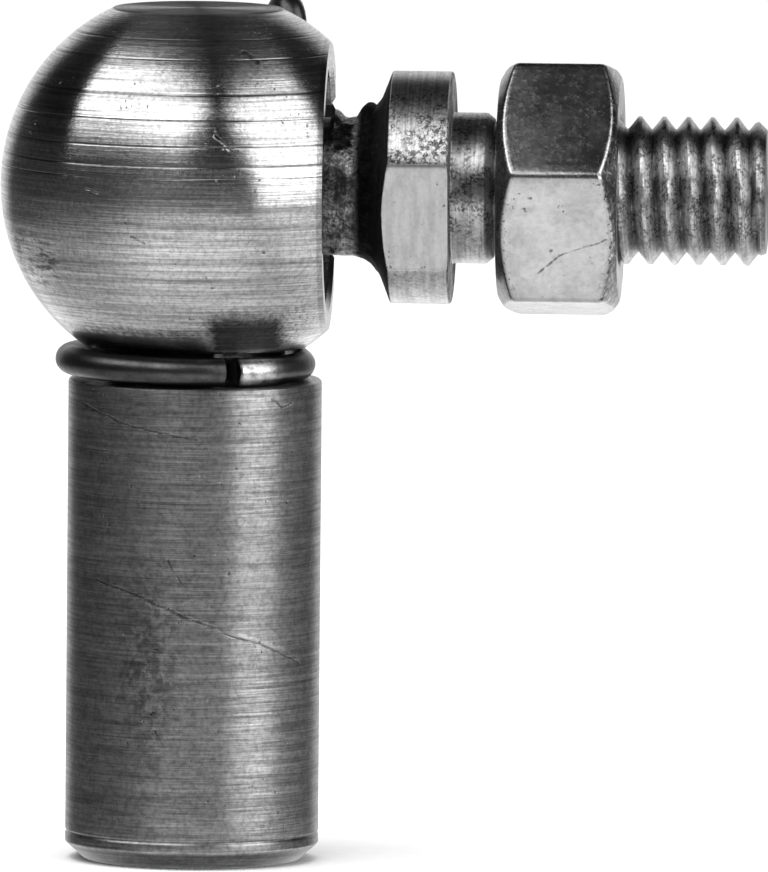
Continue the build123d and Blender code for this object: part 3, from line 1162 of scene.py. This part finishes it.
def softbox(name, azimuth, elevation, size, power, distance=260.0):
    """A soft rectangular lamp aimed at the ball, at an azimuth from the front towards +X."""
    data = bpy.data.lights.new(name, "AREA")
    data.shape = "RECTANGLE"
    data.size, data.size_y = size[0] * MM, size[1] * MM
    data.energy = power
    lamp = bpy.data.objects.new(name, data)
    bpy.context.scene.collection.objects.link(lamp)
    a, e = radians(azimuth), radians(elevation)
    away = Vector((sin(a) * cos(e), -cos(a) * cos(e), sin(e)))
    lamp.location = (ball_centre + away * distance) * MM
    lamp.rotation_mode = "QUATERNION"
    lamp.rotation_quaternion = (ball_centre * MM - lamp.location).to_track_quat("-Z", "Y")
    lamp.visible_camera = False


def make_lights():
    """Two softboxes in front, a low dim one at the right, and a broad sun that the steel doesn't mirror."""
    softbox("front_left", -47, 50, (370, 170), 0.64)
    softbox("front_right", 62, 30, (235, 240), 0.47)
    softbox("right_low", 60, 4, (190, 60), 0.15)
    data = bpy.data.lights.new("table_light", "SUN")
    data.energy = 3.5
    data.angle = radians(60)
    sun = bpy.data.objects.new("table_light", data)
    bpy.context.scene.collection.objects.link(sun)
    sun.visible_glossy = False


def make_world():
    """A dim room with a pale wall behind, and a bounce from below that fades towards the left."""
    world = bpy.data.worlds.new("studio")
    bpy.context.scene.world = world
    world.use_nodes = True
    background = world.node_tree.nodes["Background"]
    background.inputs["Color"].default_value = (1, 1, 1, 1)
    room = Nodes(world.node_tree)
    x, y, z = room.split(room.node("TexCoord").outputs["Generated"])
    below = room.masks((z, -0.16, -0.36), (z, -0.5, -1.0, 1.0, 0.55))
    level = room.times(room.ramp(room.math("ABSOLUTE", z), 0.4, 0.05), 0.14)
    sides = room.ramp(room.math("ABSOLUTE", x), 0.3, 0.9, 1.0, 0.35)
    sides = room.plus(sides, room.ramp(x, 0.6, 0.95, 0.0, 0.7))
    light = room.times(room.mix(below, room.plus(level, 0.035), 1.45), sides)
    wall = room.times(room.ramp(y, 0.7, 0.95), 0.9)
    room.put(background.inputs["Strength"], room.most(light, wall))


def make_camera():
    """A long lens, a little above the head and a little to the right of square on."""
    azimuth, elevation, roll = radians(3.0), radians(5.5), radians(0.5)
    lens_mm, distance = 1200.0, 962.4
    aim_right, aim_down = 6.27, 8.28
    right = Vector((cos(azimuth), sin(azimuth), 0))
    back = Vector((sin(azimuth) * cos(elevation), -cos(azimuth) * cos(elevation), sin(elevation)))
    up = back.cross(right)
    target = ball_centre + right * aim_right - up * aim_down
    data = bpy.data.cameras.new("camera")
    data.lens = lens_mm
    data.clip_start, data.clip_end = 0.01, 20.0
    camera = bpy.data.objects.new("camera", data)
    bpy.context.scene.collection.objects.link(camera)
    turned_axes = Matrix((right, up, back)).transposed() @ Matrix.Rotation(roll, 3, "Z")
    camera.matrix_world = Matrix.Translation((target + back * distance) * MM) @ turned_axes.to_4x4()
    bpy.context.scene.camera = camera
    bpy.context.scene.view_settings.view_transform = "Standard"


def main():
    wear(make_socket(), "socket_steel", "socket", socket_steel(), "ball_socket")
    wear(make_stud(), "stud_steel", "stud", stud_steel(), "ball_stud")
    wear(make_nut(), "nut_steel", "nut", nut_steel(), "hex_nut")
    wear(make_clip(), "clip_wire", "socket", dark_wire("clip_wire", 0.085, clip_bare_ends_and_painted_light), "safety_clip")
    ring = frame["nodes"]["snap_ring"]
    ring.data.materials.clear()
    ring.data.materials.append(dark_wire("ring_wire", 0.16))
    make_floor()
    make_world()
    make_lights()
    make_camera()


main()
